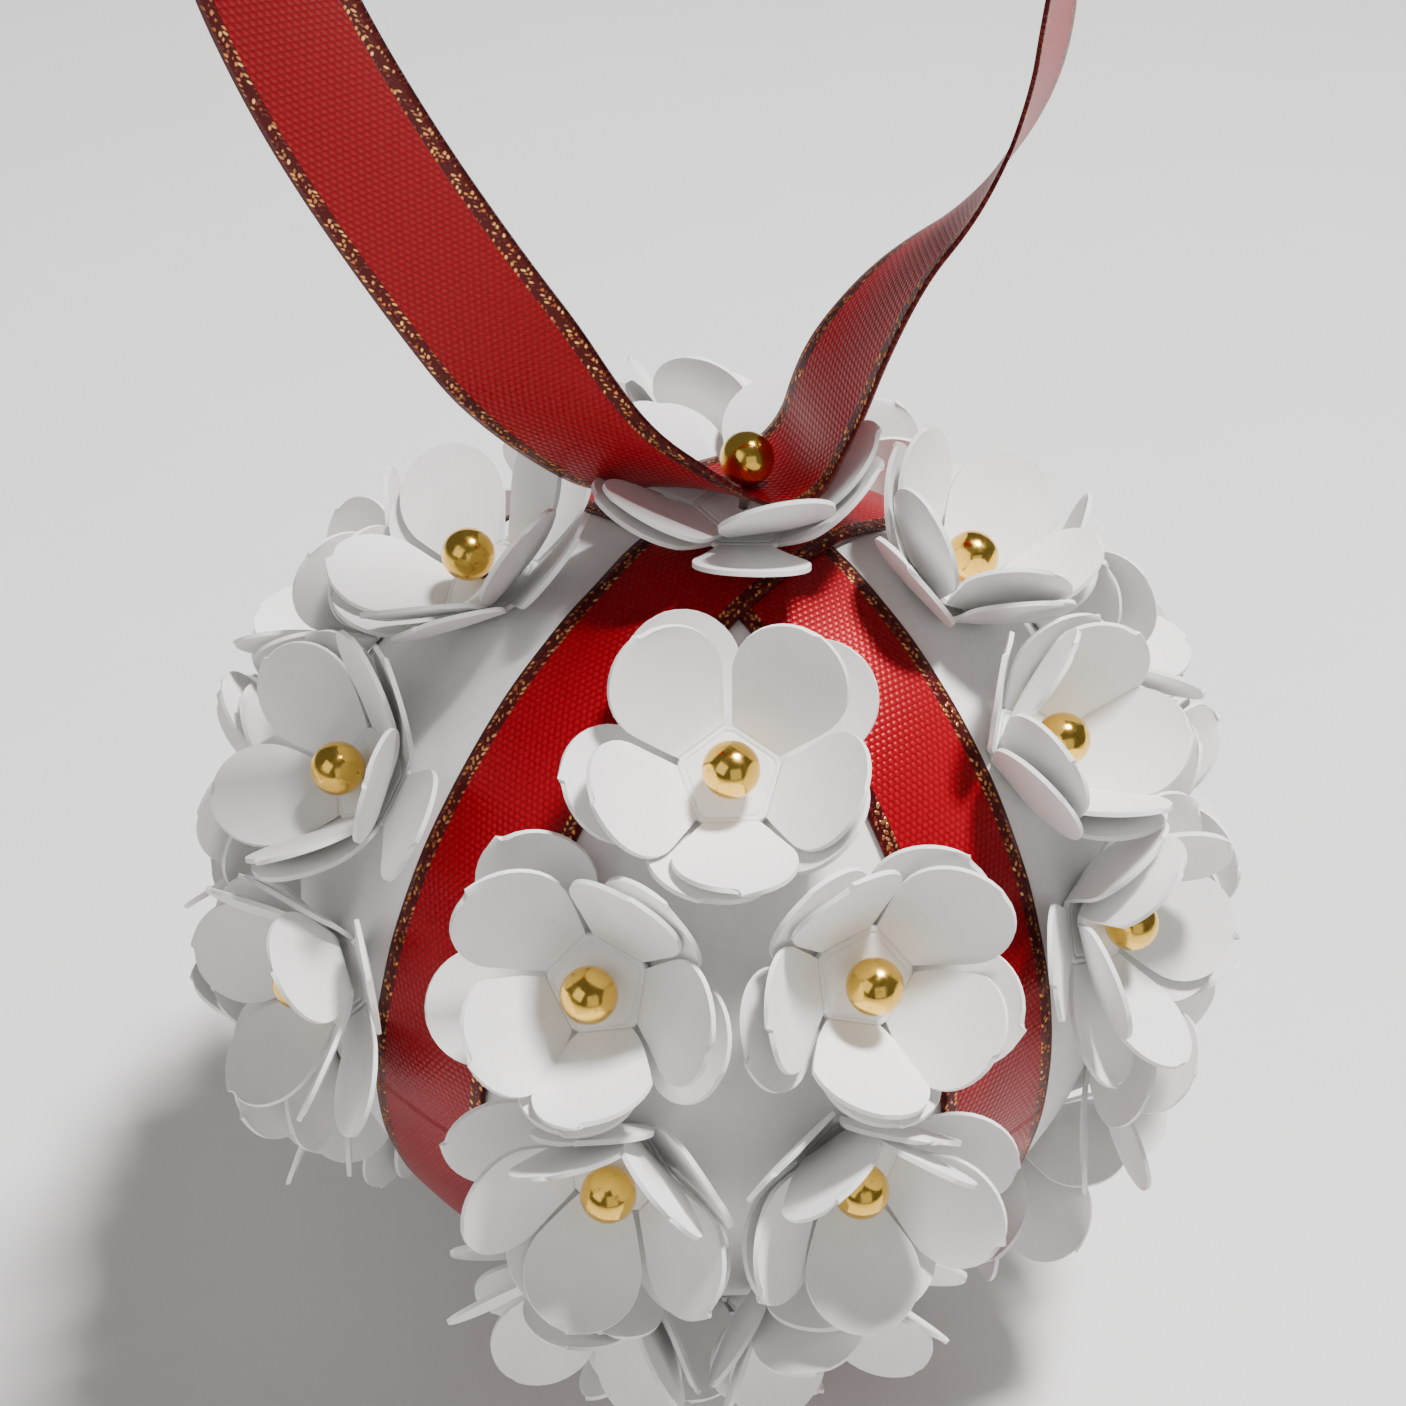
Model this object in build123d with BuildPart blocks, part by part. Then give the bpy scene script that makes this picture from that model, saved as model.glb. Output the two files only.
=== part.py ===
"""Pinned paper flower ball: a white foam ball wound with two satin ribbons, covered with folded
double flowers cut from thin card, each held by a gold ball-headed pin, and hung from a ribbon loop.

All sizes in millimetres. +Z is up, the front gore faces -Y, and the origin is the hanging point,
inside the top of the ribbon loop. A place on the ball is given by its latitude and its azimuth,
0 at the front and growing towards +X.
"""
import os
from math import acos, asin, atan2, cos, pi, radians, sin, sqrt, tan

from build123d import *

os.makedirs("parts", exist_ok=True)

# ---- driving sizes -------------------------------------------------------------------------
ball_d = 60.0            # foam ball
ribbon_w = 9.5           # satin ribbon, the same reel for the bands and the loop
ribbon_t = 0.3           # its thickness with the edge stitching
crossing = 76.0          # angle between the two bands across the front gore, degrees
card_t = 0.3             # card of the flowers
hub_side = 4.1           # one fold of the five-sided centre of a flower
petal_l = 8.4            # petal from fold to tip
petal_w = 7.4            # widest part of a petal
petal_curl = 16.0        # how far a petal bends along its length, degrees
fold_low = 18.0          # least fold of an outer petal, up from the centre, degrees
fold_up = 40.0           # least fold of an inner petal
fold_most = 64.0         # steepest fold
layer_gap = 0.8          # spring of the card between the two layers at the centre
pin_d = 0.6              # pin shank
pin_l = 18.0             # shank from the centre of the head to the point
head_d = 3.5             # ball head of a pin
head_lift = 3.4          # centre of the head above the foam
loop_drop = 104.0        # hanging point above the centre of the ball
loop_turn = 15.0         # the loop's plane, turned from +X towards +Y

# ---- fits ----------------------------------------------------------------------------------
slip = 0.02              # a pin in its hole, each side
lay = 0.05               # a sheet lying on another
apart = 0.25             # petals of neighbouring flowers
mitre = 0.08             # petals of one flower, each from the plane between them
root = 0.9               # how far a petal's flat root runs into the centre of the flower

ball_r = ball_d / 2
apothem = hub_side / 2 / tan(pi / 5)
hub_r = hub_side / 2 / sin(pi / 5)
half_w = petal_w / 2
base_w = 0.83 * hub_side / 2                 # half width of a petal at its fold
widest = petal_l - half_w                    # distance of the widest part from the fold
base_far = sqrt(widest ** 2 + base_w ** 2)   # straight sides, tangent to the round end
flare = asin(half_w / base_far) - atan2(base_w, widest)
straight = sqrt(base_far ** 2 - half_w ** 2)
touch_s, touch_w = straight * cos(flare), base_w + straight * sin(flare)
centre = Vector(0, 0, -loop_drop)

band_r = ball_r + lay                        # inside of the band that lies on the foam
over_r = sqrt((band_r + ribbon_t) ** 2 + (ribbon_w / 2) ** 2) + 2 * lay   # other band at a pole
pole_r = over_r + ribbon_t + lay             # seat of the top and bottom flowers
layer_step = card_t + layer_gap
flower_h = layer_step + card_t               # both centres, stacked
saddle = 1.5                                 # ribbon loop above the centre of the top flower


# ---- flowers: latitude, azimuth from the middle of the gore, and turn on the pin, where a
# flower isn't simply turned to whatever leaves its petals most open ----------------------------
free = None
gores = {
    "front": (0, [(54, -1, 5), (29, -16, 20), (31, 18, 54), (6, -11, 62), (7, 16, 0)]),
    "right": (90, [(63, -1, free), (45, -28, free), (39, 13, free), (22, -31, free),
                   (14, -1, free), (15, 28, free), (-6, -22, free)]),
    "back": (180, [(54, 0, free), (30, -17, free), (30, 17, free), (5, -13, free),
                   (5, 14, free)]),
    "left": (-90, [(58, 3, free), (34, 25, free), (33, -16, free), (10, 34, free),
                   (12, 2, free), (10, -29, free), (-15, 20, free)]),
}
under = {0: [(-21, -13), (-20, 14), (-46, 1)], 180: [(-21, -13), (-22, 14), (-47, -1)],
         90: [(-12, 8), (-10, 36), (-36, -20), (-38, 17), (-63, -3)],
         -90: [(-15, -13), (-38, 4), (-38, -30), (-64, -10)]}


def outward(lat, az):
    """Direction from the centre of the ball to a place on it."""
    a, b = radians(lat), radians(az)
    return Vector(cos(a) * sin(b), -cos(a) * cos(b), sin(a))


def seat(lat, az, height):
    """Plane tangent to the ball at a place, lifted to a height, its x direction pointing down."""
    out = outward(lat, az)
    down = outward(lat - 90, az)
    return Plane(origin=centre + out * height, x_dir=down, z_dir=out)


flowers = [("top", 90, 0, 18, pole_r)]
for gore, (middle, places) in gores.items():
    for number, (lat, az, turn) in enumerate(places, 1):
        flowers.append((f"{gore}_{number}", lat, middle + az, turn, ball_r + lay))
flowers.append(("under", -90, 0, free, pole_r))
for middle, places in under.items():
    for lat, az in places:
        flowers.append(("under", lat, middle + az, free, ball_r + lay))

# ---- the route of the hanging ribbon, in an upright plane through the poles: distance from
# the axis, towards +X, and height above the ball's centre ---------------------------------------
loop_z = pole_r + flower_h + saddle + ribbon_t / 2       # middle of the ribbon under the pin
lap = ribbon_t + lay
top_z = loop_drop + ribbon_t / 2
route = [(6.5, top_z), (-9.0, top_z), (-20.5, loop_drop - 7.0), (-28.0, loop_drop - 18.5),
         (-29.5, loop_drop - 31.5), (-24.8, 60.5), (-17.6, 48.5), (-10.8, loop_z + 4.2),
         (-4.6, loop_z), (3.2, loop_z), (5.4, loop_z + 7.5), (9.8, loop_z + 14.5),
         (15.2, 56.0), (17.4, 66.0), (20.5, loop_drop - 26.0), (20.0, loop_drop - 11.5),
         (13.0, top_z + lap), (-6.5, top_z + lap)]


loop_along = Vector(cos(radians(loop_turn)), sin(radians(loop_turn)), 0)
loop_across = Vector(sin(radians(loop_turn)), -cos(radians(loop_turn)), 0)


def route_height(x):
    """Height of the ribbon's middle over x, along the low part that crosses the top flower."""
    low = route[6:13]
    for (x0, z0), (x1, z1) in zip(low, low[1:]):
        if x0 <= x <= x1:
            return z0 + (z1 - z0) * (x - x0) / (x1 - x0)
    return 1000.0


def half_width(s):
    """Half width of a petal at a distance s from its fold."""
    if s <= touch_s:
        return base_w + s * tan(flare)
    return sqrt(max(0.0, half_w ** 2 - (s - widest) ** 2))


def rise(s, fold):
    """Distance out from the middle of the flower and height, along the curved petal."""
    start, bend = radians(fold - petal_curl / 2), radians(petal_curl) / petal_l
    now = start + bend * s
    return apothem + (sin(now) - sin(start)) / bend, (cos(start) - cos(now)) / bend


def petal_points(fold, thick=0.0):
    """Points over a petal, out, across and height, on its outer face or lifted by a thickness."""
    points = []
    for step in range(1, 10):
        s = petal_l * step / 9
        out, up = rise(s, fold)
        lean = radians(fold - petal_curl / 2 + petal_curl * s / petal_l)
        for share in (-1, -0.5, 0, 0.5, 1):
            points.append((out - thick * sin(lean), share * half_width(s), up + thick * cos(lean)))
    return points


def turned(points, angle):
    """A petal's points in its flower's own frame."""
    c, s = cos(radians(angle)), sin(radians(angle))
    return [(out * c - across * s, out * s + across * c, up) for out, across, up in points]


def dot(a, b):
    """Product of two directions given as three numbers."""
    return a[0] * b[0] + a[1] * b[1] + a[2] * b[2]


def from_centre(points, plane):
    """Points of a flower's own frame, as places from the centre of the ball."""
    base = plane.origin - centre
    rows = [(plane.x_dir.X, plane.y_dir.X, plane.z_dir.X, base.X),
            (plane.x_dir.Y, plane.y_dir.Y, plane.z_dir.Y, base.Y),
            (plane.x_dir.Z, plane.y_dir.Z, plane.z_dir.Z, base.Z)]
    return [tuple(dot(row, point) + row[3] for row in rows) for point in points]


def walls_round(me, plane):
    """Planes halfway to the other flowers, seen from the flower: direction and distance."""
    mine, walls = outward(me[1], me[2]), []
    for other in flowers:
        theirs = outward(other[1], other[2])
        if other is not me and mine.dot(theirs) > 0.4:
            wall = (mine - theirs).normalized()
            walls.append((plane.x_dir.dot(wall), plane.y_dir.dot(wall), plane.z_dir.dot(wall),
                          (plane.origin - centre).dot(wall)))
    return walls


def keeps_to_its_cell(walls, angle, fold):
    """True where a petal stays on its own side of the planes halfway to the other flowers."""
    spots = turned(petal_points(fold), angle)
    return all(x * wx + y * wy + z * wz + base > apart / 2
               for wx, wy, wz, base in walls for x, y, z in spots)


def clear_of_loop(plane, angle, fold):
    """True where a petal of the top flower stays under the hanging ribbon."""
    for place in from_centre(turned(petal_points(fold, card_t), angle), plane):
        if abs(dot(place, tuple(loop_across))) < ribbon_w / 2 + 0.2:
            if place[2] > route_height(dot(place, tuple(loop_along))) - ribbon_t / 2 - 0.25:
                return False
    return True


def clear_of_bands(plane, angle, fold):
    """True where a petal's outer face passes over the ribbon bands and not through them."""
    places = from_centre(turned(petal_points(fold), angle), plane)
    for azimuth, pole in ((crossing / 2, band_r), (-crossing / 2, over_r)):
        level, axis = tuple(outward(0, azimuth)), tuple(outward(0, azimuth + 90))
        for place in places:
            if abs(dot(place, axis)) < ribbon_w / 2 + 0.2:
                size = sqrt((dot(place, level) / (band_r + ribbon_t)) ** 2
                            + (place[2] / (pole + ribbon_t)) ** 2)
                if size < 1 + 0.3 / ball_r:
                    return False
    return True


def height_of(u, fold):
    """Height of a petal's upper face at a distance from the middle of the flower."""
    start, bend_r = radians(fold - petal_curl / 2), petal_l / radians(petal_curl)
    lean = asin(min(1.0, (u - apothem) / bend_r + sin(start)))
    return bend_r * (cos(start) - cos(lean)) + card_t / cos(lean)


def above_the_outer(angle, fold, outer):
    """True where an inner petal lies clear above every outer petal that it covers."""
    for x, y, up in turned(petal_points(fold), angle):
        for other_angle, other_fold in outer:
            b = radians(other_angle)
            u, v = x * cos(b) + y * sin(b), y * cos(b) - x * sin(b)
            reach = rise(petal_l, other_fold)[0]
            if u < apothem or u > reach + 0.3:
                continue
            along = petal_l * (u - apothem) / (reach - apothem)
            if abs(v) < half_width(min(along, petal_l * 0.97)) + 0.3:
                if up + layer_step < height_of(u, other_fold) + 0.2:
                    return False
    return True


def folds_for(me, plane, walls, turn, least, outer=None):
    """Fold of each of the five petals: the least that keeps it clear of everything near it."""
    folds = []
    for k in range(5):
        angle, fold = turn + 72 * k, least + (k * 7 + me[1]) % 5
        if me[0] == "top":
            while fold > petal_curl / 2 + 4 and not clear_of_loop(plane, angle, fold):
                fold -= 2
        while fold < fold_most and not (keeps_to_its_cell(walls, angle, fold)
                                        and clear_of_bands(plane, angle, fold)):
            fold += 2
        while outer and fold < fold_most + 6 and not above_the_outer(angle, fold, outer):
            fold += 2
        folds.append((angle, fold))
    return folds


def settle(me):
    """Both layers of a flower, turned so that the steepest petals stand as open as they can."""
    name, lat, az, turn, height = me
    low, up = seat(lat, az, height), seat(lat, az, height + layer_step)
    walls, best = walls_round(me, low), None
    for inner_turn in (range(0, 72, 9) if turn is free else (turn,)):
        for under in (14, 22, 30, -14, -22, -30):
            outer = folds_for(me, low, walls, inner_turn + under,
                              fold_low if name != "top" else 0.75 * fold_low)
            inner = folds_for(me, up, walls, inner_turn, fold_up, outer)
            cost = sum(fold ** 3 for _, fold in outer + inner)
            if best is None or cost < best[0]:
                best = (cost, outer, inner)
    return low, best[1], up, best[2]


def make_petal(plane, angle, fold):
    """One petal: a curved strip of card cut to the paddle outline, rising from its fold, with a
    flat root inside the centre of the flower, and mitred where it would meet its neighbours."""
    a = radians(angle)
    out = plane.x_dir * cos(a) + plane.y_dir * sin(a)
    side = Plane(origin=plane.origin, x_dir=out, z_dir=out.cross(plane.z_dir))
    start, end = radians(fold - petal_curl / 2), radians(fold + petal_curl / 2)
    bend_r = petal_l / radians(petal_curl)
    hub_x, hub_z = apothem - bend_r * sin(start), bend_r * cos(start)

    def arc_point(radius, lean):
        return hub_x + radius * sin(lean), hub_z - radius * cos(lean)

    inside = acos((hub_z - card_t) / (bend_r - card_t))
    lower = [arc_point(bend_r, lean) for lean in (start, (start + end) / 2, end)]
    upper = [arc_point(bend_r - card_t, lean) for lean in (inside, (inside + end) / 2, end)]
    with BuildPart() as petal:
        with BuildSketch(side):
            with BuildLine():
                ThreePointArc(*lower)
                Line(lower[2], upper[2])
                ThreePointArc(*upper)
                Polyline(upper[0], (apothem - root, card_t), (apothem - root, 0), lower[0])
            make_face()
        extrude(amount=petal_w, both=True)
        tilt = radians(fold)
        slope = out * cos(tilt) + plane.z_dir * sin(tilt)
        face = Plane(origin=plane.origin + out * apothem, x_dir=slope,
                     z_dir=slope.cross(out.cross(plane.z_dir)) * -1)
        with BuildSketch(face):
            with BuildLine():
                Polyline((touch_s, touch_w), (0, base_w), (-2 * root, base_w),
                         (-2 * root, -base_w), (0, -base_w), (touch_s, -touch_w))
                ThreePointArc((touch_s, -touch_w), (petal_l, 0), (touch_s, touch_w))
            make_face()
        extrude(amount=3.0, both=True, mode=Mode.INTERSECT)
        far = hub_r + petal_l
        with BuildSketch(Plane(origin=plane.origin, x_dir=out, z_dir=plane.z_dir)):
            Polygon((mitre / sin(pi / 5), 0), (far, -far * tan(pi / 5) + mitre / cos(pi / 5)),
                    (far, far * tan(pi / 5) - mitre / cos(pi / 5)), align=None)
        extrude(amount=far, both=True, mode=Mode.INTERSECT)
    return petal.part


def make_layer(plane, folds):
    """One flower sheet: the five-sided centre with its pin hole, and five petals folded up."""
    petals = [make_petal(plane, angle, fold) for angle, fold in folds]
    with BuildPart() as layer:
        with BuildSketch(plane):
            RegularPolygon(radius=hub_r, side_count=5, rotation=folds[0][0] + 36)
        extrude(amount=card_t)
        add(petals)
        with BuildSketch(plane):
            Circle(pin_d / 2 + slip)
        extrude(amount=card_t, mode=Mode.SUBTRACT)
    return layer.part


# ---- foam ball, bored for the pins ----------------------------------------------------------
def pin_seats(height):
    """Planes of the pins that hold the flowers of the gores and the bottom flower."""
    for _, lat, az, _, seat_r in flowers[1:]:
        yield seat(lat, az, seat_r - lay + height)


with BuildPart() as foam_ball:
    with Locations(centre):
        Sphere(ball_r)
    for plane in pin_seats(head_lift):
        with BuildSketch(plane):
            Circle(pin_d / 2 + slip)
        extrude(amount=-(pin_l + slip), mode=Mode.SUBTRACT)
    with BuildSketch(seat(90, 0, loop_z)):
        Circle(pin_d / 2 + slip)
    extrude(amount=-(pin_l + slip), mode=Mode.SUBTRACT)


# ---- ribbon bands ---------------------------------------------------------------------------
def band_plane(azimuth):
    """Plane of a band's great circle: x level towards the azimuth, y up."""
    level = outward(0, azimuth)
    return Plane(origin=centre, x_dir=level, z_dir=level.cross(Vector(0, 0, 1)))


with BuildPart() as ribbon_band_inner:
    with BuildSketch(band_plane(crossing / 2)):
        Circle(band_r + ribbon_t)
        Circle(band_r, mode=Mode.SUBTRACT)
    extrude(amount=ribbon_w / 2, both=True)
    for way in (90, -90):
        with BuildSketch(seat(way, 0, 0)):
            Circle(pin_d / 2 + slip)
        extrude(amount=pole_r, mode=Mode.SUBTRACT)

with BuildPart() as ribbon_band_outer:
    with BuildSketch(band_plane(-crossing / 2)):
        Ellipse(band_r + ribbon_t, over_r + ribbon_t)
        Ellipse(band_r, over_r, mode=Mode.SUBTRACT)
    extrude(amount=ribbon_w / 2, both=True)
    for way in (90, -90):
        with BuildSketch(seat(way, 0, 0)):
            Circle(pin_d / 2 + slip)
        extrude(amount=pole_r, mode=Mode.SUBTRACT)


# ---- pins -----------------------------------------------------------------------------------
def make_pin(plane):
    """A pin with a ball head, the plane through the centre of its head."""
    with BuildPart() as pin:
        with BuildSketch(plane):
            Circle(pin_d / 2)
        extrude(amount=-(pin_l - 1.2))
        with BuildSketch(plane.offset(-(pin_l - 1.2))):
            Circle(pin_d / 2)
        extrude(amount=-1.2, taper=12)
        with Locations(plane):
            Sphere(head_d / 2)
    return pin.part


flower_pins = Compound(children=[make_pin(plane) for plane in pin_seats(head_lift)])
hanger_pin = make_pin(seat(90, 0, loop_z + ribbon_t / 2 + head_d / 2 + 2 * lay))

# ---- hanging ribbon loop --------------------------------------------------------------------
points = [loop_along * x + Vector(0, 0, z) + centre for x, z in route]
radii = []
for a, b, c in zip(points, points[1:], points[2:]):
    run = min((b - a).length, (c - b).length)
    turn_angle = radians((b - a).get_angle(c - b))
    radii.append(0.45 * run / tan(turn_angle / 2))
print("loop radii", [round(r, 1) for r in radii])

with BuildPart() as hanging_ribbon:
    with BuildLine() as loop_line:
        FilletPolyline(*points, radius=radii)
    first = (points[1] - points[0]).normalized()
    with BuildSketch(Plane(origin=points[0], x_dir=loop_across, z_dir=first)):
        Rectangle(ribbon_w, ribbon_t)
    sweep(path=loop_line.wire())
    with BuildSketch(seat(90, 0, loop_z)):
        Circle(pin_d / 2 + slip)
    extrude(amount=2.0, both=True, mode=Mode.SUBTRACT)
loop_length = loop_line.wire().length
print("loop length", round(loop_length, 1), "volume", round(hanging_ribbon.part.volume, 1),
      "section x length", round(loop_length * ribbon_w * ribbon_t, 1))


# ---- write every piece ----------------------------------------------------------------------
def write(shape, name):
    shape.label = name
    export_step(shape, f"parts/{name}.step")


write(foam_ball.part, "foam_ball")
write(ribbon_band_inner.part, "ribbon_band_inner")
write(ribbon_band_outer.part, "ribbon_band_outer")
write(flower_pins, "flower_pins")
write(hanger_pin, "hanger_pin")
write(hanging_ribbon.part, "hanging_ribbon")
under_outer, under_inner = [], []
for flower in flowers:
    name = flower[0]
    low, outer, up, inner = settle(flower)
    print(name, "outer", outer[0][0], [round(fold) for _, fold in outer],
          "inner", inner[0][0], [round(fold) for _, fold in inner])
    if name == "under":
        under_outer.append(make_layer(low, outer))
        under_inner.append(make_layer(up, inner))
    else:
        write(make_layer(low, outer), f"{name}_flower_outer")
        write(make_layer(up, inner), f"{name}_flower_inner")
write(Compound(children=under_outer), "under_flowers_outer")
write(Compound(children=under_inner), "under_flowers_inner")
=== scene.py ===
from math import radians, pi

import bpy
import numpy as np
from mathutils import Matrix, Vector


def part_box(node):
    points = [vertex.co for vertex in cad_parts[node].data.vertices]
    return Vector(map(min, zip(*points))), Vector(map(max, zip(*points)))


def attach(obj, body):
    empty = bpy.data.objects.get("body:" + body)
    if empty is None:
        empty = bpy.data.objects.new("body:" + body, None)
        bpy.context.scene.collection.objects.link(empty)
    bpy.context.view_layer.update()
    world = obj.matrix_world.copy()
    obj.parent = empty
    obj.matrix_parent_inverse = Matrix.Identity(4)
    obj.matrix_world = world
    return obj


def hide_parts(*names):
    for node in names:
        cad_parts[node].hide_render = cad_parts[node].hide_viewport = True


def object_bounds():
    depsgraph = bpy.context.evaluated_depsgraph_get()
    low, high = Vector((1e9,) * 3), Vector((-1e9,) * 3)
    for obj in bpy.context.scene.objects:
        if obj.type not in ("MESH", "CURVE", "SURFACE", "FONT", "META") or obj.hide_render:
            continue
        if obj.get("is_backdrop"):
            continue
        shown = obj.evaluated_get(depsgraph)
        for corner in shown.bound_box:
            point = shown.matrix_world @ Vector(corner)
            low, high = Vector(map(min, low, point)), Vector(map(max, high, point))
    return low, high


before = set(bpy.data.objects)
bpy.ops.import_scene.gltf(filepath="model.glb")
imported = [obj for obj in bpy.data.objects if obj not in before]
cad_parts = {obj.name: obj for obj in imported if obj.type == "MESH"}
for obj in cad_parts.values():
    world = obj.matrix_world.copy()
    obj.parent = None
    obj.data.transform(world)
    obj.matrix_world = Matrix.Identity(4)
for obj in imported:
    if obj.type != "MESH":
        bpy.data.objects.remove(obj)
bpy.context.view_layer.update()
rng = np.random.default_rng(11)
mm = 0.001

# the ball's middle and radius, from its box
ballLow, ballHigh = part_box("foam_ball")
centre = np.array([0.0, 0.0, (ballLow[2] + ballHigh[2]) / 2])
ballR = (ballHigh[2] - ballLow[2]) / 2

# ---------- camera first: close, looking down on the ball from the front ----------
camSet = {"place": (-0.00513, -0.11834, 0.11155), "aim": (-0.00147, 0.00829, 0.00947),
          "lens": 56.33, "roll": 3.99, "sensor": 36.0, "nearest": 5 * mm}
camData = bpy.data.cameras.new("camera")
camData.lens = camSet["lens"]
camData.sensor_width = camSet["sensor"]
camData.clip_start = camSet["nearest"]
camera = bpy.data.objects.new("camera", camData)
bpy.context.scene.collection.objects.link(camera)
camPlace = Vector(camSet["place"]) + Vector(centre)
camAim = Vector(camSet["aim"]) + Vector(centre)
look = (camAim - camPlace).to_track_quat("-Z", "Y").to_matrix().to_4x4()
roll = Matrix.Rotation(radians(camSet["roll"]), 4, "Z")
camera.matrix_world = Matrix.Translation(camPlace) @ look @ roll
bpy.context.scene.camera = camera
camera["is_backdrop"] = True
print("camera done")


# ---------- small helpers ----------
def unit(v):
    return v / np.linalg.norm(v, axis=-1, keepdims=True)


def outward(lat, az):  # direction from the ball's centre to a latitude and azimuth in degrees
    a, b = np.radians(lat), np.radians(az)
    return np.array([np.cos(a) * np.sin(b), -np.cos(a) * np.cos(b), np.sin(a)])


def smooth(x, low, high):  # 0 below low, 1 above high, an eased step between
    t = np.clip((x - low) / (high - low), 0, 1)
    return t * t * (3 - 2 * t)


def gridFaces(rows, cols, loopRows=False, loopCols=False):
    # quads of a grid of rows x cols points, as index arrays
    i = np.arange(rows if loopRows else rows - 1)
    j = np.arange(cols if loopCols else cols - 1)
    i, j = np.meshgrid(i, j, indexing="ij")
    i2, j2 = (i + 1) % rows, (j + 1) % cols
    quads = np.stack([i * cols + j, i * cols + j2, i2 * cols + j2, i2 * cols + j], -1)
    return quads.reshape(-1, 4)


def makeObject(name, points, faces, mats, uv=None, faceMat=None, caps=np.zeros((0, 3), int)):
    # object at the origin from points in metres, quads and end caps, one uv pair per point
    mesh = bpy.data.meshes.new(name)
    mesh.vertices.add(len(points))
    mesh.vertices.foreach_set("co", np.asarray(points, float).ravel())
    corners = np.concatenate([faces.ravel(), caps.ravel()])
    counts = np.concatenate([np.full(len(faces), 4), np.full(len(caps), caps.shape[1])])
    mesh.loops.add(len(corners))
    mesh.loops.foreach_set("vertex_index", corners)
    mesh.polygons.add(len(counts))
    mesh.polygons.foreach_set("loop_start", np.cumsum(counts) - counts)
    mesh.polygons.foreach_set("loop_total", counts)
    if faceMat is not None:
        mesh.polygons.foreach_set("material_index", faceMat)
    mesh.update(calc_edges=True)
    mesh.validate()
    mesh.polygons.foreach_set("use_smooth", np.ones(len(mesh.polygons), bool))
    if uv is not None:
        layer = mesh.uv_layers.new(name="UVMap")
        corner = np.zeros(len(mesh.loops), np.int32)
        mesh.loops.foreach_get("vertex_index", corner)
        layer.data.foreach_set("uv", uv[corner].ravel())
    for mat in mats:
        mesh.materials.append(mat)
    obj = bpy.data.objects.new(name, mesh)
    bpy.context.scene.collection.objects.link(obj)
    return obj


def solidify(obj, thick, offset=1.0, rim=0.0):
    mod = obj.modifiers.new("thickness", "SOLIDIFY")
    mod.thickness, mod.offset = thick, offset
    mod.use_even_offset = False
    if rim:
        edge = obj.modifiers.new("edge", "BEVEL")
        edge.width, edge.segments, edge.limit_method = rim, 1, "ANGLE"
        edge.angle_limit, edge.harden_normals = radians(50), True


# ---------- material helper: nodes by type, wired from a short list ----------
def newMaterial(name):
    mat = bpy.data.materials.new(name)
    mat.use_nodes = True
    tree = mat.node_tree
    tree.nodes.clear()
    shader = tree.nodes.new("ShaderNodeBsdfPrincipled")
    out = tree.nodes.new("ShaderNodeOutputMaterial")
    tree.links.new(shader.outputs[0], out.inputs[0])

    def node(kind, inputs=None, **settings):
        n = tree.nodes.new("ShaderNode" + kind)
        for key, value in settings.items():
            setattr(n, key, value)
        for key, value in (inputs or {}).items():
            if isinstance(value, bpy.types.NodeSocket):
                tree.links.new(value, n.inputs[key])
            else:
                n.inputs[key].default_value = value
        return n

    def maths(op, a, b=0.0, c=0.0):
        return node("Math", {0: a, 1: b, 2: c}, operation=op).outputs[0]

    def ramp(value, stops):
        n = node("ValToRGB", {0: value})
        while len(n.color_ramp.elements) < len(stops):
            n.color_ramp.elements.new(0.5)
        for element, (place, color) in zip(n.color_ramp.elements, stops):
            element.position, element.color = place, (*color, 1)
        return n.outputs[0]

    def mix(share, a, b):
        n = node("Mix", {0: share}, data_type="RGBA")
        for socket, value in ((n.inputs[6], a), (n.inputs[7], b)):
            if isinstance(value, bpy.types.NodeSocket):
                tree.links.new(value, socket)
            else:
                socket.default_value = (*value, 1)
        return n.outputs[2]

    def bump(height, strength, distance, normal=None):
        n = node("Bump", {"Height": height, "Strength": strength, "Distance": distance})
        if normal is not None:
            tree.links.new(normal, n.inputs["Normal"])
        return n.outputs[0]

    def wire(socket, key):
        tree.links.new(socket, shader.inputs[key])

    return mat, shader, node, maths, ramp, mix, bump, wire


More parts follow.
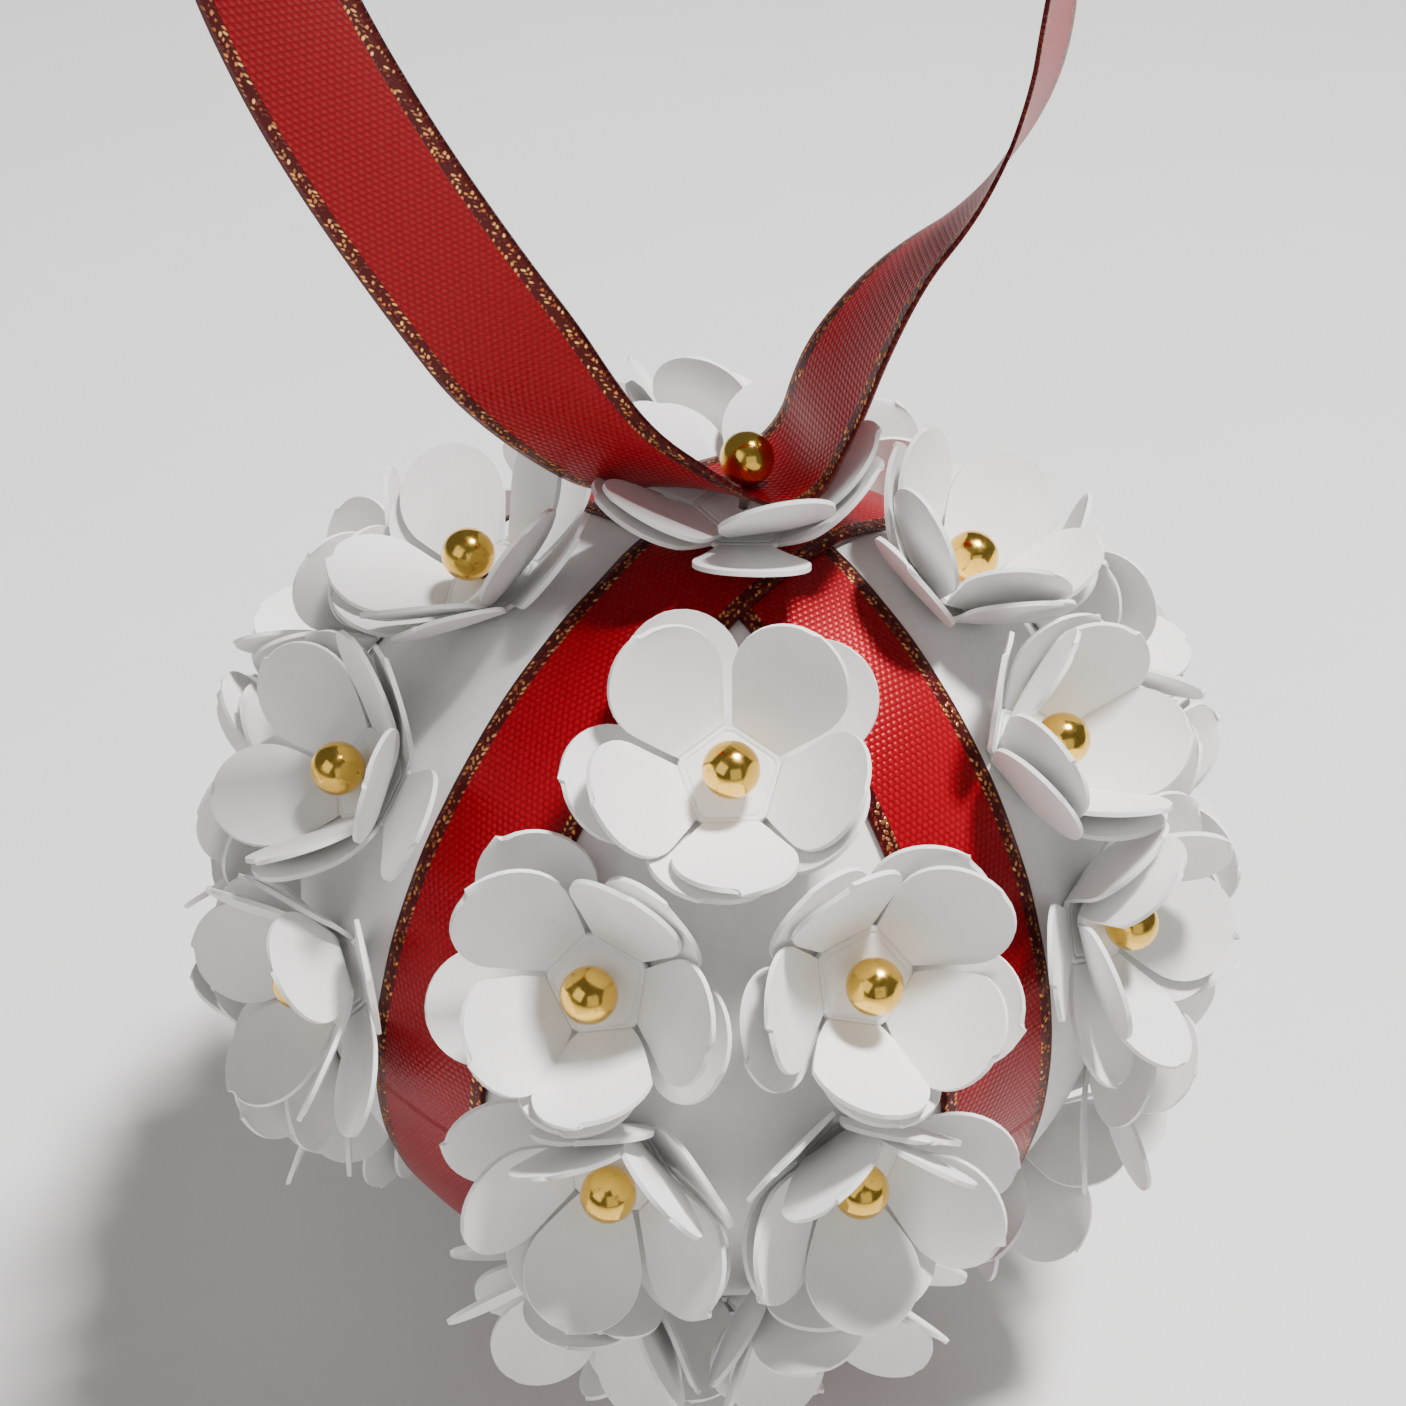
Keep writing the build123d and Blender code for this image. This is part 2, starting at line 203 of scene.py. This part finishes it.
# ---------- white card ----------
def cardMaterial(name, tone):
    mat, shader, node, maths, ramp, mix, bump, wire = newMaterial(name)
    place = node("TexCoord").outputs["Object"]
    fibre = node("TexNoise", {"Vector": place, "Scale": 5200.0, "Detail": 3.0,
                              "Roughness": 0.6}).outputs[0]
    cloud = node("TexNoise", {"Vector": place, "Scale": 420.0, "Detail": 2.0}).outputs[0]
    fleck = node("TexVoronoi", {"Vector": place, "Scale": 900.0}).outputs["Distance"]
    low, high = [c * 0.955 for c in tone], tone
    base = mix(ramp(cloud, [(0.3, (0, 0, 0)), (0.7, (1, 1, 1))]), low, high)
    spots = ramp(fleck, [(0.03, (1, 1, 1)), (0.07, (0, 0, 0))])
    wire(mix(spots, base, [c * 0.93 for c in tone]), "Base Color")
    wire(ramp(fibre, [(0.3, (0.72, 0.72, 0.72)), (0.75, (0.86, 0.86, 0.86))]), "Roughness")
    # two scored lines beside each fold: uv.x is the distance from the fold in millimetres
    uv = node("UVMap").outputs[0]
    fromFold = node("SeparateXYZ", {0: uv}).outputs[0]
    line = maths("MINIMUM", maths("ABSOLUTE", maths("ADD", fromFold, 0.42)),
                 maths("ABSOLUTE", maths("SUBTRACT", fromFold, 0.02)))
    score = ramp(maths("MULTIPLY", line, 4.0), [(0.15, (0, 0, 0)), (0.6, (1, 1, 1))])
    first = bump(score, 0.55, 0.00012)
    wire(bump(fibre, 0.28, 0.00005, first), "Normal")
    shader.inputs["Subsurface Weight"].default_value = 0.06
    shader.inputs["Subsurface Radius"].default_value = (0.0006, 0.0005, 0.0004)
    shader.inputs["Specular IOR Level"].default_value = 0.35
    return mat


innerCard = cardMaterial("inner_card_white", (0.90, 0.89, 0.87))
outerCard = cardMaterial("outer_card_white", (0.885, 0.87, 0.85))


# ---------- satin ribbon with glitter edges ----------
def satinMaterial(name, red):
    # uv.x runs along in millimetres, uv.y across in millimetres from the middle
    mat, shader, node, maths, ramp, mix, bump, wire = newMaterial(name)
    uv = node("UVMap").outputs[0]
    parts = node("SeparateXYZ", {0: uv})
    along, across = parts.outputs[0], parts.outputs[1]
    out = maths("ABSOLUTE", across)
    trim = ramp(maths("DIVIDE", out, 4.75), [(0.765, (0, 0, 0)), (0.785, (1, 1, 1))])
    selvedge = ramp(maths("DIVIDE", out, 4.75), [(0.955, (0, 0, 0)), (0.975, (1, 1, 1))])
    # floats of the weave: short dashes across the ribbon, each row shifted half a dash
    row = maths("FLOOR", maths("DIVIDE", along, 0.40))
    shift = maths("MULTIPLY", maths("FLOORED_MODULO", row, 2.0), 0.225)
    dash = maths("SINE", maths("MULTIPLY", maths("ADD", across, shift), 2 * pi / 0.45))
    rib = maths("ABSOLUTE", maths("SINE", maths("MULTIPLY", along, pi / 0.40)))
    twill = maths("MULTIPLY", maths("MULTIPLY_ADD", dash, 0.5, 0.5), rib)
    slub = node("TexNoise", {"Vector": node("Mapping", {0: uv, 3: (0.35, 3.0, 1.0)}).outputs[0],
                             "Scale": 1.0, "Detail": 3.0}).outputs[0]
    weave = mix(ramp(twill, [(0.1, (0, 0, 0)), (0.7, (1, 1, 1))]), [c * 0.62 for c in red], red)
    uneven = ramp(slub, [(0.35, (0, 0, 0)), (0.7, (0.45, 0.45, 0.45))])
    weave = mix(uneven, weave, [c * 0.8 for c in red])
    # three columns of glitter thread in each edge, their stitches leaning alternately
    column = maths("DIVIDE", maths("SUBTRACT", out, 3.68), 0.34)
    lean = maths("MULTIPLY", maths("PINGPONG", column, 1.0), 0.22)
    stitch = maths("DIVIDE", maths("ADD", along, lean), 0.34)
    cells = node("TexVoronoi", {"Vector": node("CombineXYZ", {0: stitch, 1: column}).outputs[0],
                                "Scale": 1.0, "Randomness": 0.55})
    pick = node("SeparateXYZ", {0: cells.outputs["Color"]})
    shine = ramp(pick.outputs[0], [(0.18, (0, 0, 0)), (0.55, (1, 1, 1))])
    inside = ramp(cells.outputs["Distance"], [(0.30, (1, 1, 1)), (0.46, (0, 0, 0))])
    fleck = maths("MULTIPLY", maths("MULTIPLY", shine, inside), maths("SUBTRACT", 1.0, selvedge))
    gold = mix(pick.outputs[1], (0.55, 0.15, 0.05), (0.95, 0.60, 0.20))
    thread = mix(inside, (0.035, 0.004, 0.005), (0.10, 0.016, 0.012))
    edge = mix(fleck, thread, gold)
    wire(mix(trim, weave, edge), "Base Color")
    wire(maths("MULTIPLY", trim, fleck), "Metallic")
    wire(maths("MULTIPLY_ADD", trim, -0.04, 0.33), "Roughness")
    height = maths("ADD", maths("MULTIPLY", twill, maths("SUBTRACT", 1.0, trim)),
                   maths("MULTIPLY", trim, maths("MULTIPLY_ADD", pick.outputs[2], 1.2, inside)))
    wire(bump(height, 0.4, 0.00008), "Normal")
    shader.inputs["Sheen Weight"].default_value = 0.03
    shader.inputs["Sheen Roughness"].default_value = 0.35
    shader.inputs["Sheen Tint"].default_value = (1.0, 0.1, 0.08, 1)
    shader.inputs["Specular IOR Level"].default_value = 0.6
    shader.inputs["Specular Tint"].default_value = (1.0, 0.16, 0.15, 1)
    shader.inputs["Anisotropic"].default_value = 0.6
    return mat


loopSatin = satinMaterial("loop_satin_red", (0.40, 0.001, 0.010))
# the bands are the loop's ribbon, given its red darkened: painted shade for the shade the bands lie in
# on the ball
bandSatinPaintedShade = satinMaterial("band_satin_red_painted_shade", (0.31, 0.001, 0.009))


# ---------- gilt pin heads and steel shanks ----------
def goldMaterial():
    mat, shader, node, maths, ramp, mix, bump, wire = newMaterial("gilt_head")
    place = node("TexCoord").outputs["Object"]
    wear = node("TexNoise", {"Vector": place, "Scale": 1500.0, "Detail": 4.0,
                             "Roughness": 0.65}).outputs[0]
    pits = node("TexVoronoi", {"Vector": place, "Scale": 1300.0}).outputs["Distance"]
    worn = ramp(wear, [(0.60, (0, 0, 0)), (0.68, (1, 1, 1))])
    base = mix(worn, (0.83, 0.52, 0.09), (0.58, 0.32, 0.06))
    pitted = ramp(pits, [(0.05, (1, 1, 1)), (0.10, (0, 0, 0))])
    wire(mix(pitted, base, (0.30, 0.17, 0.05)), "Base Color")
    wire(ramp(wear, [(0.45, (0.14, 0.14, 0.14)), (0.75, (0.34, 0.34, 0.34))]), "Roughness")
    wire(bump(wear, 0.12, 0.00006), "Normal")
    shader.inputs["Metallic"].default_value = 1.0
    return mat


def steelMaterial():
    mat, shader, node, maths, ramp, mix, bump, wire = newMaterial("pin_steel")
    place = node("TexCoord").outputs["Object"]
    draw = node("TexNoise", {"Vector": place, "Scale": 3000.0, "Detail": 2.0}).outputs[0]
    wire(mix(draw, (0.52, 0.50, 0.47), (0.68, 0.67, 0.65)), "Base Color")
    wire(ramp(draw, [(0.3, (0.25, 0.25, 0.25)), (0.7, (0.42, 0.42, 0.42))]), "Roughness")
    shader.inputs["Metallic"].default_value = 1.0
    return mat


def foamMaterial():
    # beads of expanded foam, pressed flat at the moulded skin, with fine seams between them
    mat, shader, node, maths, ramp, mix, bump, wire = newMaterial("foam_white")
    place = node("TexCoord").outputs["Object"]
    seams = node("TexVoronoi", {"Vector": place, "Scale": 420.0},
                 feature="DISTANCE_TO_EDGE").outputs["Distance"]
    fine = node("TexNoise", {"Vector": place, "Scale": 2600.0, "Detail": 3.0}).outputs[0]
    skin = ramp(seams, [(0.0, (0, 0, 0)), (0.06, (1, 1, 1))])
    beads = mix(fine, (0.84, 0.83, 0.81), (0.87, 0.86, 0.84))
    wire(mix(skin, (0.83, 0.82, 0.80), beads), "Base Color")
    wire(bump(fine, 0.15, 0.00006, bump(skin, 0.12, 0.00005)), "Normal")
    shader.inputs["Roughness"].default_value = 0.6
    shader.inputs["Subsurface Weight"].default_value = 0.12
    shader.inputs["Subsurface Radius"].default_value = (0.0012, 0.0011, 0.001)
    return mat


gilt, steel, foam = goldMaterial(), steelMaterial(), foamMaterial()
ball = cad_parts["foam_ball"]
ball.data.materials.clear()
ball.data.materials.append(foam)
print("materials done")

# ---------- hanging ribbon: a flat cord that twists along its line ----------
loopSet = {"width": 9.5 * mm, "thick": 0.26 * mm, "plane": 15.0, "drop": 104.0, "low": 34.22,
           "lap": 0.35, "stations": 420, "ease": 8, "slant": 0.36, "cup": 0.22 * mm,
           "waver": 0.10 * mm}
top, low, lap = loopSet["drop"] + 0.15, loopSet["low"], loopSet["lap"]
loopRoute = [(5.0, top), (-10.0, top), (-21.8, 96.5), (-29.5, 83.5), (-29.2, 71.5), (-25.0, 61.0),
             (-18.2, 49.3), (-10.8, low + 4.2), (-4.6, low), (3.2, low), (5.2, low + 7.5),
             (9.0, low + 14.5), (13.6, 53.0), (16.6, 59.6), (16.4, 67.4), (18.0, 78.0),
             (18.2, 91.8), (12.4, top + lap), (-6.5, top + lap)]
loopAlong = np.array([np.cos(radians(loopSet["plane"])), np.sin(radians(loopSet["plane"])), 0])
routePoints = [loopAlong * x * mm + np.array([0, 0, (z - loopSet["drop"]) * mm]) for x, z in loopRoute]
lineData = bpy.data.curves.new("loopLine", "CURVE")
lineData.dimensions = "3D"
spline = lineData.splines.new("NURBS")
spline.points.add(len(routePoints) - 1)
spline.points.foreach_set("co", np.array([[*p, 1.0] for p in routePoints]).ravel())
spline.order_u = 3
spline.use_endpoint_u = True
spline.resolution_u = 12
lineObj = bpy.data.objects.new("loopLine", lineData)
bpy.context.scene.collection.objects.link(lineObj)
lineMesh = bpy.data.meshes.new_from_object(lineObj)
line = np.zeros(len(lineMesh.vertices) * 3)
lineMesh.vertices.foreach_get("co", line)
line = line.reshape(-1, 3)
bpy.data.objects.remove(lineObj)

# even stations along the line
step = np.linalg.norm(np.diff(line, axis=0), axis=1)
run = np.concatenate([[0], np.cumsum(step)])
loopLength = run[-1]
stations = np.linspace(0, loopLength, loopSet["stations"])
line = np.stack([np.interp(stations, run, line[:, k]) for k in range(3)], 1)
tangent = unit(np.gradient(line, axis=0))
# twist of the ribbon about its line, degrees at shares of the length; 0 lies square to the plane
pinShare = 0.523
twist = [(0, 0), (0.06, 0), (0.20, -40), (0.294, -56), (0.337, -64), (0.394, -72), (0.43, -77),
         (0.451, -66), (0.47, -57), (0.494, -50), (0.511, -30), (0.523, -12), (0.545, 0),
         (0.575, 6), (0.604, -7), (0.632, -24), (0.661, -33), (0.685, -37), (0.711, -34),
         (0.80, -36), (0.90, -15), (0.96, 0), (1, 0)]
twistAt, twistBy = zip(*twist)
turn = np.radians(np.interp(stations / loopLength, twistAt, twistBy))
kernel = np.hanning(2 * loopSet["ease"] + 1)
turn = np.convolve(np.pad(turn, loopSet["ease"], mode="edge"), kernel / kernel.sum(), mode="valid")
fromPin = stations / loopLength - pinShare
slant = loopSet["slant"] * np.exp(-(fromPin / 0.035) ** 2)  # the fold runs aslant at the pin
across0 = np.array([np.sin(radians(loopSet["plane"])), -np.cos(radians(loopSet["plane"])), 0])
upright = unit(np.cross(across0[None], tangent))
widthDir = np.cos(turn)[:, None] * across0 + np.sin(turn)[:, None] * -upright
faceDir = unit(np.cross(tangent, widthDir))
widthDir = widthDir + slant[:, None] * tangent


def ribbonSurface():
    # point = line(s) + across * width direction + cup * (1 - (2 across / width)^2) * face direction,
    # with a slow waver along the length
    v = np.linspace(-0.5, 0.5, 25)
    cup = loopSet["cup"] * np.sin(stations / loopLength * 2 * pi * 2.5 + 0.7)
    free = smooth(np.abs(fromPin), 0.02, 0.10)[:, None]
    wave = loopSet["waver"] * np.sin(stations[:, None] / (7 * mm) + 3 * v[None]) * free
    lift = cup[:, None] * (1 - (2 * v[None]) ** 2) * free + wave
    pts = (line[:, None] + widthDir[:, None] * (v[None, :, None] * loopSet["width"])
           + faceDir[:, None] * lift[..., None])
    uv = np.stack(np.broadcast_arrays(stations[:, None] / mm, v[None] * loopSet["width"] / mm), -1)
    return pts.reshape(-1, 3), uv.reshape(-1, 2), gridFaces(len(stations), len(v))


pts, uv, faces = ribbonSurface()
hangingRibbon = makeObject("hanging_ribbon_satin", pts, faces, [loopSatin], uv)
solidify(hangingRibbon, loopSet["thick"], 0.0)
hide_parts("hanging_ribbon")
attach(hangingRibbon, "root")
print("hanging ribbon done", round(loopLength / mm, 1))

# ---------- ribbon bands round the ball ----------
bandSet = {"width": 9.5 * mm, "thick": 0.25 * mm, "angle": 38.0, "lie": 0.06 * mm,
           "pucker": 0.16 * mm, "slack": 0.05 * mm, "rise": 0.30 * mm}


def bandSurface(azimuth, over, seed):
    # point = centre + radius * (cos(v/R) * ring direction + sin(v/R) * band axis); the radius is the
    # ball's, a hair of slack, low puckers at the edges, and a rise where it crosses the other band
    noise = np.random.default_rng(seed)
    a = np.linspace(0, 2 * pi, 360, endpoint=False)
    v = np.linspace(-0.5, 0.5, 21) * bandSet["width"]
    level, axis = outward(0, azimuth), outward(0, azimuth + 90)
    ring = np.cos(a)[:, None] * level + np.sin(a)[:, None] * np.array([0, 0, 1.0])
    phase = noise.uniform(0, 2 * pi, 6)
    waves = sum(np.sin(a * k + p) for k, p in zip((5, 7, 11, 16, 23, 31), phase)) / 6
    edge = np.abs(v / bandSet["width"] * 2)
    pucker = bandSet["pucker"] * (0.5 + 0.5 * waves)[:, None] * edge[None] ** 3
    slack = bandSet["slack"] * (1 + waves)[:, None] * (1 - edge[None] ** 2)
    fromPole = np.minimum(np.abs(a - pi / 2), np.abs(a - 3 * pi / 2)) * ballR
    rise = bandSet["rise"] * over * (1 - smooth(fromPole, 5 * mm, 10 * mm))[:, None]
    r = ballR + bandSet["lie"] + pucker + slack + rise
    lean = v / ballR
    pts = centre + r[..., None] * (np.cos(lean)[None, :, None] * ring[:, None]
                                   + np.sin(lean)[None, :, None] * axis)
    uv = np.stack(np.broadcast_arrays(a[:, None] * ballR / mm, v[None] / mm), -1)
    return pts.reshape(-1, 3), uv.reshape(-1, 2), gridFaces(len(a), len(v), loopRows=True)


for name, azimuth, over, seed in (("ribbon_band_inner", bandSet["angle"], False, 3),
                                  ("ribbon_band_outer", -bandSet["angle"], True, 8)):
    pts, uv, faces = bandSurface(azimuth, over, seed)
    band = makeObject(name + "_satin", pts, faces, [bandSatinPaintedShade], uv)
    solidify(band, bandSet["thick"], 1.0)
    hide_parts(name)
    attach(band, "root")
print("bands done")

# ---------- flowers ----------
flowerSet = {"thick": 0.3 * mm, "side": 4.1 * mm, "length": 8.4 * mm, "width": 7.4 * mm,
             "curl": 16.0, "gap": 1.1 * mm, "seat": 0.05 * mm, "poleSeat": 1.17 * mm,
             "pinHole": 0.33 * mm, "mitre": 0.1 * mm, "rim": 0.05 * mm}
apothem = flowerSet["side"] / 2 / np.tan(pi / 5)
hubR = flowerSet["side"] / 2 / np.sin(pi / 5)
halfW = flowerSet["width"] / 2
baseW = 0.83 * flowerSet["side"] / 2
widest = flowerSet["length"] - halfW
baseFar = np.hypot(widest, baseW)
flare = np.arcsin(halfW / baseFar) - np.arctan2(baseW, widest)
touch = np.sqrt(baseFar ** 2 - halfW ** 2) * np.cos(flare)
gores = {
    "front": (0, [(54, -1), (29, -16), (31, 18), (6, -11), (7, 16)]),
    "right": (90, [(63, -1), (45, -28), (39, 13), (22, -31), (14, -1), (15, 28), (-6, -22)]),
    "back": (180, [(54, 0), (30, -17), (30, 17), (5, -13), (5, 14)]),
    "left": (-90, [(58, 3), (34, 25), (33, -16), (10, 34), (12, 2), (10, -29), (-15, 20)]),
}
under = {0: [(-21, -13), (-20, 14), (-46, 1)], 180: [(-21, -13), (-22, 14), (-47, -1)],
         90: [(-12, 8), (-10, 36), (-36, -20), (-38, 17), (-63, -3)],
         -90: [(-15, -13), (-38, 4), (-38, -30), (-64, -10)]}
flowers = [("top", 90, 0, flowerSet["poleSeat"])]
flowers += [(f"{gore}_{n}", lat, middle + az, flowerSet["seat"])
            for gore, (middle, places) in gores.items() for n, (lat, az) in enumerate(places, 1)]
flowers += [("under", -90, 0, flowerSet["poleSeat"])]
flowers += [("under", lat, middle + az, flowerSet["seat"])
            for middle, places in under.items() for lat, az in places]
axes = np.array([outward(lat, az) for _, lat, az, _ in flowers])


def nodePoints(name):  # a CAD node's vertices from the ball's centre
    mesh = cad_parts[name].data
    co = np.zeros(len(mesh.vertices) * 3)
    mesh.vertices.foreach_get("co", co)
    return co.reshape(-1, 3) - centre


def localFrame(index):
    _, lat, az, _ = flowers[index]
    out, down = outward(lat, az), outward(lat - 90, az)
    return out, down, np.cross(out, down)


def readFolds(points, index, height):
    # turn of the five-sided centre from its corners, then each petal's fold from its tip
    out, x, y = localFrame(index)
    near = np.argmax(unit(points) @ axes.T, axis=1) == index
    mine = points[near] if flowers[index][0] == "under" else points
    u, v, w = mine @ x, mine @ y, mine @ out - height
    rho, spin = np.hypot(u, v), np.degrees(np.arctan2(v, u))
    corner = (np.abs(rho - hubR) < 0.04 * mm) & (np.abs(w) < 0.05 * mm)
    phase = np.exp(1j * np.radians(5 * (spin[corner] - 36)))
    turnDeg = np.degrees(np.angle(phase.mean())) / 5
    petals = []
    for k in range(5):
        a = radians(turnDeg + 72 * k)
        along, side = u * np.cos(a) + v * np.sin(a) - apothem, v * np.cos(a) - u * np.sin(a)
        here = (np.abs(side) < halfW * 0.6) & (along > 0.1 * mm)
        reach = np.hypot(along, w) * here
        tip = np.argmax(reach)
        petals.append((turnDeg + 72 * k, float(np.degrees(np.arctan2(w[tip], along[tip])))))
    return petals


def petalHalf(s):  # half width of the petal outline at a distance from the fold
    round_ = np.sqrt(np.maximum(halfW ** 2 - (s - widest) ** 2, 0))
    return np.where(s < touch, baseW + s * np.tan(flare), round_)


def flowerSheet(index, height, petals, noise):
    # centre: rings shrinking from the five folds to the pin hole; petal: an arc that starts at
    # fold - curl/2 and ends at fold + curl/2, cupped across and slightly wrung, on a grid of
    # distance from the fold (s) and share of the half width (t)
    out, x, y = localFrame(index)
    cols, rows = 11, 15
    t = np.linspace(-1, 1, cols)
    pts, uvs, faces, edge = [], [], [], []
    for angle, _ in petals:
        a = radians(angle)
        dirOut, dirSide = x * np.cos(a) + y * np.sin(a), y * np.cos(a) - x * np.sin(a)
        edge.append(dirOut * apothem + dirSide * (t * baseW)[:, None])
    edge = np.concatenate(edge)
    shares = np.array([0.10, 0.4, 0.7, 0.88, 0.95, 1.0])
    hub = edge[None] * shares[:, None, None]
    hub[0] = unit(edge) * flowerSet["pinHole"]
    n = len(edge)
    pts.append(hub.reshape(-1, 3))
    hubUv = np.stack(np.broadcast_arrays((shares[:, None] - 1) * apothem / mm,
                                         np.tile(t * baseW / mm, 5) * shares[:, None]), -1)
    uvs.append(hubUv.reshape(-1, 2))
    faces.append(gridFaces(len(shares), n, loopCols=True))
    start = hub.shape[0] * n
    lastRing = (len(shares) - 1) * n
    s01 = 1 - (1 - np.linspace(0, 1, rows)) ** 1.6
    s = (s01 * flowerSet["length"] * 0.9995)[1:]
    for k, (angle, fold) in enumerate(petals):
        a = radians(angle)
        dirOut, dirSide = x * np.cos(a) + y * np.sin(a), y * np.cos(a) - x * np.sin(a)
        curl = radians(flowerSet["curl"])
        first, bend = radians(fold) - curl / 2, curl / flowerSet["length"]
        now = first + bend * s
        r = apothem + (np.sin(now) - np.sin(first)) / bend
        z = (np.cos(first) - np.cos(now)) / bend
        half = np.minimum(petalHalf(s), r * np.tan(pi / 5) - flowerSet["mitre"])
        cup = noise.uniform(0.10, 0.30)
        wring = noise.uniform(-0.16, 0.16)
        nod = noise.uniform(-0.1, 0.1)
        grow = (s / flowerSet["length"])[:, None]
        lift = mm * (cup * t[None] ** 2 * np.minimum(grow * 2, 1) * (half / halfW)[:, None] ** 2
                     + wring * t[None] * grow ** 1.5 + nod * grow ** 2)
        tilt = now[:, None, None]
        normal = -np.sin(tilt) * dirOut + np.cos(tilt) * out
        body = (dirOut * r[:, None, None] + out * z[:, None, None]
                + dirSide * (half[:, None] * t[None])[..., None] + normal * lift[..., None])
        pts.append(body.reshape(-1, 3))
        petalUv = np.stack(np.broadcast_arrays((s / mm)[:, None], half[:, None] * t[None] / mm), -1)
        uvs.append(petalUv.reshape(-1, 2))
        joinRow = lastRing + k * cols + np.arange(cols)
        rowIdx = start + np.arange(len(s) * cols).reshape(len(s), cols)
        full = np.concatenate([joinRow[None], rowIdx])
        quads = np.stack([full[:-1, :-1], full[:-1, 1:], full[1:, 1:], full[1:, :-1]], -1)
        faces.append(quads.reshape(-1, 4))
        start += len(s) * cols
    pts = np.concatenate(pts) + out * height + centre
    return pts, np.concatenate(uvs), np.concatenate(faces)


def buildFlowers(nodeName, members, lift, mat):
    points = nodePoints(nodeName)
    allPts, allUv, allFaces, start = [], [], [], 0
    for index in members:
        height = ballR + flowers[index][3] + lift
        petals = readFolds(points, index, height)
        pts, uv, faces = flowerSheet(index, height, petals, rng)
        allPts.append(pts)
        allUv.append(uv)
        allFaces.append(faces[:, ::-1] + start)
        start += len(pts)
    obj = makeObject(nodeName + "_card", np.concatenate(allPts), np.concatenate(allFaces),
                     [mat], np.concatenate(allUv))
    solidify(obj, flowerSet["thick"], 1.0, flowerSet["rim"])
    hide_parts(nodeName)
    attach(obj, "root")


for layerName, lift, mat in (("outer", 0.0, outerCard), ("inner", flowerSet["gap"], innerCard)):
    for index, flower in enumerate(flowers):
        if flower[0] != "under":
            buildFlowers(f"{flower[0]}_flower_{layerName}", [index], lift, mat)
    hidden = [i for i, flower in enumerate(flowers) if flower[0] == "under"]
    buildFlowers(f"under_flowers_{layerName}", hidden, lift, mat)
print("flowers done", len(flowers))

# ---------- pins ----------
pinSet = {"head": 1.75 * mm, "shank": 0.3 * mm, "length": 18.0 * mm, "lift": 3.4 * mm,
          "hangerLift": 6.22 * mm}


def pinSurface(index, headHeight):
    # a profile turned about the pin's axis: point, shank, a small collar and the ball head
    out, x, y = localFrame(index)
    turns = np.linspace(0, 2 * pi, 32, endpoint=False)
    ringA = np.linspace(-pi / 2 + 0.19, pi / 2 - 0.02, 26)
    headR, headZ = pinSet["head"] * np.cos(ringA), pinSet["head"] * np.sin(ringA)
    shankR = np.array([0.02 * mm, pinSet["shank"], pinSet["shank"]])
    shankZ = np.array([-pinSet["length"], -pinSet["length"] + 1.2 * mm, -pinSet["head"] * 0.985])
    radius, z = np.concatenate([shankR, headR]), np.concatenate([shankZ, headZ])
    around = np.cos(turns)[:, None] * x + np.sin(turns)[:, None] * y
    pts = centre + out * headHeight + radius[:, None, None] * around + z[:, None, None] * out
    faces = gridFaces(len(radius), len(turns), loopCols=True)
    kinds = (np.repeat(np.arange(len(radius) - 1), len(turns)) < 3).astype(np.int32)
    first = np.arange(len(turns))
    caps = np.stack([first[::-1], first + (len(radius) - 1) * len(turns)])
    return pts.reshape(-1, 3), faces, kinds, caps


def buildPins(nodeName, members):
    allPts, allFaces, allKinds, allCaps, start = [], [], [], [], 0
    for index, headHeight in members:
        pts, faces, kinds, caps = pinSurface(index, headHeight)
        allPts.append(pts)
        allFaces.append(faces + start)
        allKinds.append(kinds)
        allCaps.append(caps + start)
        start += len(pts)
    allKinds.append(np.tile([1, 0], len(members)).astype(np.int32))
    obj = makeObject(nodeName + "_gilt", np.concatenate(allPts), np.concatenate(allFaces), [gilt, steel],
                     faceMat=np.concatenate(allKinds), caps=np.concatenate(allCaps))
    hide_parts(nodeName)
    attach(obj, "root")


heads = [(i, ballR + flower[3] - flowerSet["seat"] + pinSet["lift"]) for i, flower in enumerate(flowers)]
buildPins("flower_pins", heads[1:])
buildPins("hanger_pin", [(0, ballR + pinSet["hangerLift"])])
print("pins done")

# ---------- floor, light, world ----------
lowNow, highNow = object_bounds()
floorMat, shader, node, maths, ramp, mix, bump, wire = newMaterial("table_white")
speck = node("TexNoise", {"Vector": node("TexCoord").outputs["Object"], "Scale": 60.0,
                          "Detail": 4.0}).outputs[0]
wire(mix(speck, (0.80, 0.79, 0.77), (0.84, 0.83, 0.81)), "Base Color")
shader.inputs["Roughness"].default_value = 0.55
floorSet = {"half": 1.5, "below": 0.3 * mm}
corner = np.array([[-1, -1], [1, -1], [1, 1], [-1, 1]]) * floorSet["half"]
corner = np.column_stack([corner, np.full(4, lowNow[2] - floorSet["below"])])
floor = makeObject("table", corner, np.array([[0, 1, 2, 3]]), [floorMat])
floor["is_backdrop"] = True

lightSet = [("key", (0.16, 0.06, 0.50), 9.2, 0.10), ("fill", (-0.45, -0.40, 0.30), 0.9, 0.5),
            ("front", (0.20, -0.60, 0.15), 0.5, 0.5)]
for name, place, power, size in lightSet:
    data = bpy.data.lights.new(name, "AREA")
    data.energy, data.size = power, size
    light = bpy.data.objects.new(name, data)
    light.location = Vector(place)
    light.rotation_euler = (Vector(centre) - Vector(place)).to_track_quat("-Z", "Y").to_euler()
    bpy.context.scene.collection.objects.link(light)
    light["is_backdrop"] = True
world = bpy.data.worlds.new("studio")
world.use_nodes = True
backdrop = world.node_tree.nodes["Background"]
backdrop.inputs[0].default_value = (0.93, 0.94, 1.0, 1)
backdrop.inputs[1].default_value = 0.16
bpy.context.scene.world = world

print("scene done")
